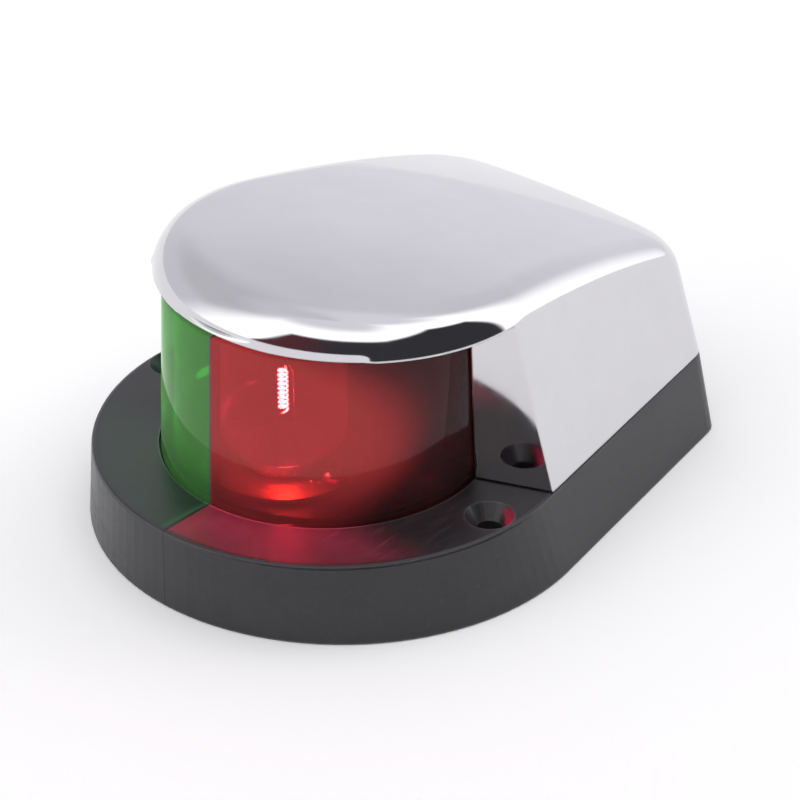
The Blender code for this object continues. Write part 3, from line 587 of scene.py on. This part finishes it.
def cleaned(obj):
    """Triangulate, and drop the slivers and back-to-back face pairs that the cuts leave."""
    bm = bmesh.new()
    bm.from_mesh(obj.data)
    bmesh.ops.triangulate(bm, faces=bm.faces)
    bmesh.ops.remove_doubles(bm, verts=bm.verts, dist=SLIVER)
    bmesh.ops.dissolve_degenerate(bm, edges=bm.edges, dist=SLIVER)
    bmesh.ops.triangulate(bm, faces=bm.faces)
    met = {}
    for face in bm.faces:
        met.setdefault(frozenset(face.verts), []).append(face)
    twins = [face for group in met.values() if len(group) > 1 for face in group]
    bmesh.ops.delete(bm, geom=twins, context="FACES")
    loose = [vertex for vertex in bm.verts if not vertex.link_faces]
    bmesh.ops.delete(bm, geom=loose, context="VERTS")
    bm.to_mesh(obj.data)
    bm.free()
    return obj


def follow_visor(obj):
    for vertex in obj.data.vertices:
        if vertex.co.z > VISOR_ABOVE * MM:
            vertex.co.z += RIM_RISE * (ARC_Y * MM - vertex.co.y)
    return obj


def lens_radius(z):
    return LENS_R - LENS_DRAFT * (z - DECK_Z)


def window_plan():
    far = PLAN_FAR
    apex = Vector((0.0, fore(CUTOFF_FORE)))
    bearing = math.radians(CUTOFF)
    edge = apex + Vector((math.sin(bearing), -math.cos(bearing))) * far
    right = [Vector((far, apex.y - far)), Vector((far, edge.y)), edge]
    return [apex] + [Vector((-p.x, p.y)) for p in reversed(right)] + right


def room_plan():
    """Everything aft of the two return walls."""
    bearing = math.radians(CUTOFF)
    along = Vector((math.sin(bearing), -math.cos(bearing)))
    across = Vector((-along.y, along.x))
    apex = Vector((0.0, fore(CUTOFF_FORE)))
    inner = apex + along * STRIP_NEAR + across * HOOD_WALL
    outer = apex + along * STRIP_FAR + across * HOOD_WALL
    return [Vector((-inner.x, inner.y)), inner, outer, Vector((outer.x, PLAN_FAR)),
            Vector((-outer.x, PLAN_FAR)), Vector((-outer.x, outer.y))]


def ahead_of_wall(point):
    """Distance in millimetres ahead of the nearer return wall's front face."""
    bearing = math.radians(CUTOFF)
    normal = Vector((math.cos(bearing), math.sin(bearing)))
    offset = Vector((abs(point.x) / MM, point.y / MM - fore(CUTOFF_FORE)))
    return -offset.dot(Vector((-normal.x, normal.y)))


def tuck_lip(obj, towards):
    """Roll the visor's lower edge in a little, so that it catches the light from below."""
    for vertex in obj.data.vertices:
        co = vertex.co
        rise = co.z / MM - RIM_Z - RIM_RISE * (ARC_Y - co.y / MM)
        if not LIP_BELOW < rise < LIP_HEIGHT:
            continue
        share = min(1.0, max(0.0, ahead_of_wall(co) / LIP_BLEND))
        hit = towards.find_nearest(co)
        if hit[0] is None or hit[3] > LIP_SKIN * MM or share <= 0.0:
            continue
        depth = LIP_TUCK * ((LIP_HEIGHT - rise) / LIP_HEIGHT) ** 2 * share
        out = Vector((hit[1].x, hit[1].y, 0.0)).normalized()
        vertex.co = co - out * depth * MM


def tree_of(obj):
    bm = bmesh.new()
    bm.from_mesh(obj.data)
    tree = BVHTree.FromBMesh(bm)
    bm.free()
    return tree


def smooth_from(obj, reference):
    """Take the outer skin's normals from the uncut skin, so that cuts leave no creases in it."""
    mesh = reference.data
    tree = tree_of(reference)
    normals = [v.normal.copy() for v in mesh.vertices]
    spots = [v.co for v in mesh.vertices]
    faces = [tuple(p.vertices) for p in mesh.polygons]
    target = obj.data
    target.shade_smooth()
    target.set_sharp_from_angle(angle=math.radians(HOOD_SHARP))
    custom = [Vector(c.vector) for c in target.corner_normals]
    for polygon in target.polygons:
        for loop in polygon.loop_indices:
            co = target.vertices[target.loops[loop].vertex_index].co
            place, flat, index, gap = tree.find_nearest(co)
            if gap > SKIN_GAP * MM or flat.dot(polygon.normal) < SKIN_FACING:
                continue
            total = Vector()
            for corner in faces[index]:
                weight = 1.0 / ((spots[corner] - place).length + 1e-7)
                total += normals[corner] * weight
            custom[loop] = total.normalized()
    target.normals_split_custom_set(custom)


def build_hood():
    rows, peak = hood_rows()
    reference = skin("hood_reference", rows, peak, False)
    hood = skin("hood_shell", rows, peak)
    carve(hood, follow_visor(prism("window", window_plan(), 0.0, RIM_Z)))
    top = RIM_Z - BORE_SHORT
    carve(hood, follow_visor(drum("bore", 0.0, fore(LENS_FORE), BORE_LOW, top,
                                  lens_radius(BORE_LOW) + HOOD_GAP, lens_radius(top) + HOOD_GAP)))
    carve(hood, seal_groove())
    core = skin("core", *hood_rows(HOOD_WALL, HOOD_TOP_WALL, CORE_FOOT))
    room = prism("room", room_plan(), 0.0, HIGH)
    carve(room, drum("pocket", 0.0, fore(LENS_FORE), 0.0, HIGH, POCKET_R), "UNION")
    carve(core, room, "INTERSECT")
    for side in (1, -1):
        carve(core, drum("boss", side * HOOD_SCREW_X, fore(-HOOD_SCREW_AFT), 0.0, HIGH, BOSS_R,
                         None, ROUND))
    carve(hood, core)
    for side in (1, -1):
        carve(hood, drum("thread", side * HOOD_SCREW_X, fore(-HOOD_SCREW_AFT), 0.0, THREAD_TOP,
                         THREAD_R, None, ROUND))
    cleaned(hood)
    tree = tree_of(reference)
    tuck_lip(hood, tree)
    tuck_lip(reference, tree)
    reference.data.update()
    smooth_from(hood, reference)
    bpy.data.objects.remove(reference, do_unlink=True)
    low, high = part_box("hood")
    for vertex in hood.data.vertices:
        for axis in range(3):
            vertex.co[axis] = min(high[axis], max(low[axis], vertex.co[axis]))
    hood.data.materials.clear()
    hood.data.materials.append(CHROME)
    return hood


# ------------------------------------------------------------------ smooth lenses and lamp glass
LENS_WALL = 2.2
LENS_HALF = 109.0
LENS_LOW = 14.0
LENS_HIGH = 45.5
LENS_STEPS = 150
SEAL_WIDTH = 1.1
GROOVE_LOW = 40.0
GROOVE_HALF = 99.0
GROOVE_PLAY = 0.1          # room inside the seal
GROOVE_ROOM = 0.3          # and past it, outside
LENS_SHARP = 40.0          # degrees
GLASS_SHARP = 60.0
SEAM_HALF = 0.205
EASE = 0.35
EASE_CUT = 0.3             # share of the ease that is left at the corner
LAMP_Y = -24.8
GLASS_SIDES = 96
CURVE_PARTS = 4
GLASS_OUTSIDE = ((6.65, 14.6), (6.65, 16.5), (6.65, 18.0), (7.3, 18.6), (9.15, 19.2),
                 (10.35, 20.4), (10.9, 22.4), (10.93, 26.0), (10.93, 32.0), (10.9, 37.8),
                 (10.4, 40.8), (8.9, 43.2), (6.3, 44.95), (3.2, 45.75), (0.0, 45.95))
GLASS_WALL = 0.7


def dressed(obj, look, sharp):
    obj.data.shade_smooth()
    obj.data.set_sharp_from_angle(angle=math.radians(sharp))
    obj.data.materials.clear()
    obj.data.materials.append(look)
    return obj


def swept(bm, columns, name):
    """Close a solid through equal columns of vertices, with a cap at each end."""
    size = len(columns[0])
    for near, further in zip(columns, columns[1:]):
        for index in range(size):
            after = (index + 1) % size
            bm.faces.new((near[index], near[after], further[after], further[index]))
    bm.faces.new(columns[0])
    bm.faces.new(columns[-1])
    return solid(bm, name)


def seal_groove():
    """Cutter: the groove over the lens that holds the upper seal."""
    inner = lens_radius(LENS_HIGH) - LENS_WALL - GROOVE_PLAY
    outer = inner + SEAL_WIDTH + GROOVE_ROOM
    section = ((inner, GROOVE_LOW), (outer, GROOVE_LOW), (outer, RIM_Z + SEAL_WIDTH),
               (inner, RIM_Z + SEAL_WIDTH))
    bm = bmesh.new()
    columns = []
    for step in range(LENS_STEPS + 1):
        turn = math.radians(GROOVE_HALF) * (2 * step / LENS_STEPS - 1)
        columns.append([bm.verts.new(Vector((radius * math.sin(turn),
                                             fore(LENS_FORE) - radius * math.cos(turn), z)) * MM)
                        for radius, z in section])
    return follow_visor(swept(bm, columns, "seal_groove"))


def lens_profile():
    """Closed section of the lens wall with eased corners, as (radius, height)."""
    foot = lens_radius(LENS_LOW)
    top = lens_radius(LENS_HIGH)
    soft = EASE * EASE_CUT
    outside = [(foot - EASE, LENS_LOW), (foot - soft, LENS_LOW + soft), (foot, LENS_LOW + EASE),
               (top, LENS_HIGH - EASE), (top - soft, LENS_HIGH - soft), (top - EASE, LENS_HIGH)]
    inside = [(top - LENS_WALL + EASE, LENS_HIGH), (top - LENS_WALL + soft, LENS_HIGH - soft),
              (top - LENS_WALL, LENS_HIGH - EASE), (foot - LENS_WALL, LENS_LOW + EASE),
              (foot - LENS_WALL + soft, LENS_LOW + soft), (foot - LENS_WALL + EASE, LENS_LOW)]
    return outside + inside


def lens_piece(name, side, look):
    """One coloured half of the lens, from the seam at the bow round to the return wall."""
    bm = bmesh.new()
    columns = []
    for step in range(LENS_STEPS + 1):
        column = []
        for radius, z in lens_profile():
            first = math.asin(SEAM_HALF / radius)
            angle = first + (math.radians(LENS_HALF) - first) * step / LENS_STEPS
            x = side * radius * math.sin(angle)
            y = fore(LENS_FORE) - radius * math.cos(angle)
            z += RIM_RISE * (ARC_Y - y) * (z - LENS_LOW) / (LENS_HIGH - LENS_LOW)
            column.append(bm.verts.new(Vector((x, y, z)) * MM))
        columns.append(column)
    return dressed(swept(bm, columns, name), look, LENS_SHARP)


def curve_through(points):
    """Catmull-Rom curve through (radius, height) points."""
    last = len(points) - 1
    path = []
    for index in range(last):
        a, b, c, d = (Vector(points[min(max(index + k, 0), last)]) for k in (-1, 0, 1, 2))
        for step in range(CURVE_PARTS):
            t = step / CURVE_PARTS
            path.append(0.5 * (2 * b + (c - a) * t + (2 * a - 5 * b + 4 * c - d) * t ** 2
                               + (3 * b - a - 3 * c + d) * t ** 3))
    return path + [Vector(points[-1])]


def lamp_envelope():
    """Thin glass, open at the neck inside the cap."""
    outer = curve_through(GLASS_OUTSIDE)
    inner = []
    for before, point, after in zip(outer, outer[1:], outer[2:]):
        way = (after - before).normalized()
        inner.append(point + Vector((-way.y, way.x)) * GLASS_WALL)
    inner = [Vector((outer[0].x - GLASS_WALL, outer[0].y))] + inner
    bm = bmesh.new()
    rings = []
    for path in (outer[:-1], inner):
        rings.append([[bm.verts.new(Vector((p.x * math.cos(turn), LAMP_Y + p.x * math.sin(turn),
                                            p.y)) * MM)
                       for turn in (math.tau * step / GLASS_SIDES for step in range(GLASS_SIDES))]
                      for p in path])
    tips = [bm.verts.new(Vector((0.0, LAMP_Y, path[-1].y)) * MM)
            for path in (outer, [outer[-1] - Vector((0.0, GLASS_WALL))])]
    for layers, tip in zip(rings, tips):
        for lower, upper in zip(layers, layers[1:]):
            for index in range(GLASS_SIDES):
                after = (index + 1) % GLASS_SIDES
                bm.faces.new((lower[index], lower[after], upper[after], upper[index]))
        for index in range(GLASS_SIDES):
            bm.faces.new((layers[-1][index], layers[-1][(index + 1) % GLASS_SIDES], tip))
    for index in range(GLASS_SIDES):
        after = (index + 1) % GLASS_SIDES
        bm.faces.new((rings[0][0][index], rings[0][0][after], rings[1][0][after], rings[1][0][index]))
    return dressed(solid(bm, "lamp_envelope"), GLASS, GLASS_SHARP)


# ------------------------------------------------------------------ studio
# Turns and rises are in degrees, and lengths in metres unless MM is beside them.
DARK_LEFT = -15.0          # the room's dark side lies between these two turns
DARK_RIGHT = 134.0
DARK_HIGH = 39.0           # and reaches up to here
HUMP_TURN = 107.0          # with a low hump to port
HUMP_HALF = 42.0
HUMP_RISE = 14.0
LEAN = 0.5
LEFT_SPREAD = 0.6
RIGHT_SPREAD = 0.75
SOFTBOX = 1.75
SOFTBOX_FAR = 34.0         # the soft lights end this many degrees outside the dark side
SOFTBOX_FULL = 12.0
ROOM_TINT = (0.93, 0.915, 0.97)
ROOM_DARK = (0.044, 0.043, 0.048)
ROOM_WARM = (0.11, 0.035, 0.045)
WARM_FROM = 38.0
WARM_FULL = 8.0
DIM_TURN = -85.0           # the room is a little darker to starboard
DIM_NEAR = 20.0
DIM_FAR = 65.0
DIM_LEVEL = 0.84
DIP_RISE = 42.0            # and at this height
DIP_NEAR = 8.0
DIP_FAR = 27.0
DIP_LEVEL = 0.86
EDGE_OUT = 2.0             # softness of the dark side's edge
EDGE_IN = -3.0
FLOOR_HALF = 3.0
FLOOR_DROP = 0.0002
FLOOR_GLOW = 0.13
CAMERA_PLACE = (0.32751, -0.36318, 0.31393)
CAMERA_WAY = (-0.56739, 0.63774, -0.52092)
CAMERA_LENS = 146.4
LAMP_Z = 0.029
LAMP_COLOUR = (1.0, 0.9, 2.6)
LAMP_SIZE = 0.0003
LAMP_POWER = 5.6
STEEP_SHARE = 0.01         # share of the light that goes down inside the lens
STARBOARD_SHARE = 0.2
SINK_SHARE = 1.5           # share that reaches the countersinks
TOP_FORE = 2.6             # centre and holes of the base's top face
MOUNT_X = 37.3
MOUNT_FORE = 5.0
SINK_EDGE = 0.0038
SINK_FULL = 0.0034
LENS_NEAR = 0.0265         # the light on the flange starts ahead of the lens
LENS_CLEAR = 0.0295
BASE_EDGE = 0.0415         # and ends at the flange's rim
BASE_FULL = 0.0405
PORT_FADE = -0.08
BOW_START = -0.027         # most of it falls at the bow, the rest abeam
BOW_FULL = -0.037
BOW_SHARE = 0.94
ABEAM_START = -0.012
ABEAM_FULL = -0.018
ABEAM_SHARE = 0.06
FLATTEST = -0.01           # directions flatter than this are taken as this


def floor():
    mesh = bpy.data.meshes.new("floor")
    corners = [(x * FLOOR_HALF, y * FLOOR_HALF, 0) for x, y in ((-1, -1), (1, -1), (1, 1), (-1, 1))]
    mesh.from_pydata(corners, [], [(0, 1, 2, 3)])
    sheet = bpy.data.objects.new("floor", mesh)
    bpy.context.scene.collection.objects.link(sheet)
    sheet.location.z = CAD_BOX[0][2] - FLOOR_DROP
    made, g = material("floor_paper")
    fibre = g.noise(400.0, 3.0)
    shader = g.principled(Base_Color=g.mix(fibre, (0.93, 0.93, 0.93), (0.96, 0.96, 0.96)),
                          Roughness=0.9, Specular_IOR_Level=0.1,
                          Emission_Color=(1.0, 1.0, 1.0), Emission_Strength=FLOOR_GLOW)
    g.surface(shader.outputs[0])
    sheet.data.materials.append(made)


def room():
    """Pale room: a dark side behind the camera, with broad soft lights round its edge."""
    world = bpy.data.worlds.new("studio")
    world.use_nodes = True
    g = Graph(world.node_tree)
    way = g.vector("NORMALIZE", g.add("ShaderNodeTexCoord").outputs["Generated"])
    x, y, z = g.split(way)
    turn = g.math("DEGREES", g.math("ARCTAN2", x, g.math("MULTIPLY", y, -1.0)))
    rise = g.math("DEGREES", g.math("ARCSINE", z))
    hump = g.ramp(g.math("ABSOLUTE", g.math("SUBTRACT", turn, HUMP_TURN)),
                  0.0, HUMP_HALF, HUMP_RISE, 0.0)
    over = g.math("SUBTRACT", rise, g.math("ADD", hump, DARK_HIGH))
    left = g.math("SUBTRACT", DARK_LEFT, g.math("SUBTRACT", turn, g.math("MULTIPLY", rise, LEAN)))
    right = g.math("SUBTRACT", turn, DARK_RIGHT)
    edge = g.math("MAXIMUM", over, g.math("MAXIMUM", left, right))
    sides = g.math("MAXIMUM", g.math("MULTIPLY", left, LEFT_SPREAD),
                   g.math("MULTIPLY", right, RIGHT_SPREAD))
    wide = g.math("MAXIMUM", over, sides)
    glow = g.ramp(wide, SOFTBOX_FAR, SOFTBOX_FULL, smooth=True)
    far = g.ramp(g.math("ABSOLUTE", g.math("SUBTRACT", turn, DIM_TURN)),
                 DIM_NEAR, DIM_FAR, DIM_LEVEL, 1.0, smooth=True)
    dip = g.ramp(g.math("ABSOLUTE", g.math("SUBTRACT", rise, DIP_RISE)),
                 DIP_NEAR, DIP_FAR, DIP_LEVEL, 1.0, smooth=True)
    pale = g.vector("SCALE", ROOM_TINT)
    g.put(pale.node.inputs["Scale"], g.math("MULTIPLY", far, dip))
    warm = g.ramp(turn, WARM_FROM, WARM_FULL, smooth=True)
    dim = g.mix(warm, ROOM_DARK, ROOM_WARM)
    colour = g.mix(glow, pale, (SOFTBOX, SOFTBOX, SOFTBOX))
    colour = g.mix(g.ramp(edge, EDGE_OUT, EDGE_IN, smooth=True), colour, dim)
    back = g.add("ShaderNodeBackground")
    g.put(back.inputs["Color"], colour)
    back.inputs["Strength"].default_value = 1.0
    out = g.add("ShaderNodeOutputWorld")
    g.tree.links.new(back.outputs[0], out.inputs["Surface"])
    bpy.context.scene.world = world


def camera():
    data = bpy.data.cameras.new("camera")
    data.sensor_width = 36.0
    data.lens = CAMERA_LENS
    data.clip_start = 0.01
    obj = bpy.data.objects.new("camera", data)
    bpy.context.scene.collection.objects.link(obj)
    obj.location = CAMERA_PLACE
    obj.rotation_euler = Vector(CAMERA_WAY).to_track_quat("-Z", "Y").to_euler()
    bpy.context.scene.camera = obj


def lamp_light():
    """Small light at the coil that falls on the flange ahead of the lens and in the countersinks."""
    light = bpy.data.lights.new("lamp", "POINT")
    light.energy = LAMP_POWER
    light.shadow_soft_size = LAMP_SIZE
    light.color = LAMP_COLOUR
    obj = bpy.data.objects.new("lamp", light)
    bpy.context.scene.collection.objects.link(obj)
    low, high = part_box("bulb_filament")
    obj.location = ((low[0] + high[0]) / 2, (low[1] + high[1]) / 2, LAMP_Z)
    obj.visible_glossy = False
    obj.visible_camera = False
    light.use_nodes = True
    g = Graph(light.node_tree)
    way = g.add("ShaderNodeTexCoord").outputs["Normal"]
    x, _, z = g.split(way)
    reach = g.math("DIVIDE", DECK_Z * MM - obj.location.z, g.math("MINIMUM", z, FLATTEST))
    spot = g.vector("SCALE", way)
    g.put(spot.node.inputs["Scale"], reach)
    spot = g.vector("MULTIPLY", g.vector("ADD", spot, tuple(obj.location)), (1.0, 1.0, 0.0))
    from_lens = g.vector("DISTANCE", spot, (0.0, fore(LENS_FORE) * MM, 0.0))
    from_base = g.vector("DISTANCE", spot, (0.0, fore(TOP_FORE) * MM, 0.0))
    steep = g.ramp(from_lens, LENS_NEAR, LENS_CLEAR, STEEP_SHARE, 1.0, smooth=True)
    inside = g.ramp(from_base, BASE_EDGE, BASE_FULL, smooth=True)
    port = g.ramp(x, PORT_FADE, 0.0, STARBOARD_SHARE, 1.0, smooth=True)
    emission = g.add("ShaderNodeEmission")
    emission.inputs["Color"].default_value = (1.0, 1.0, 1.0, 1.0)
    across, along, _ = g.split(spot)
    sink = g.hypot(g.math("SUBTRACT", g.math("ABSOLUTE", across), MOUNT_X * MM),
                   g.math("SUBTRACT", along, fore(MOUNT_FORE) * MM))
    bow = g.math("ADD", g.ramp(along, BOW_START, BOW_FULL, 0.0, BOW_SHARE, smooth=True),
                 g.ramp(along, ABEAM_START, ABEAM_FULL, 0.0, ABEAM_SHARE))
    bow = g.math("ADD", bow, g.ramp(sink, SINK_EDGE, SINK_FULL, 0.0, SINK_SHARE))
    share = g.math("MULTIPLY", g.math("MULTIPLY", steep, port), g.math("MULTIPLY", inside, bow))
    g.put(emission.inputs["Strength"], share)
    out = g.add("ShaderNodeOutputLight")
    g.tree.links.new(emission.outputs[0], out.inputs["Surface"])


HOOD = build_hood()
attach(HOOD, "hood")
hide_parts("hood")
for piece, body, covered in ((lens_piece("red_lens", 1, RED), "base", "lens_red_port"),
                             (lens_piece("green_lens", -1, GREEN), "base", "lens_green_starboard"),
                             (lamp_envelope(), "lamp", "bulb_glass")):
    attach(piece, body)
    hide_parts(covered)
floor()
room()
camera()
lamp_light()
bpy.context.scene.view_settings.view_transform = "Standard"
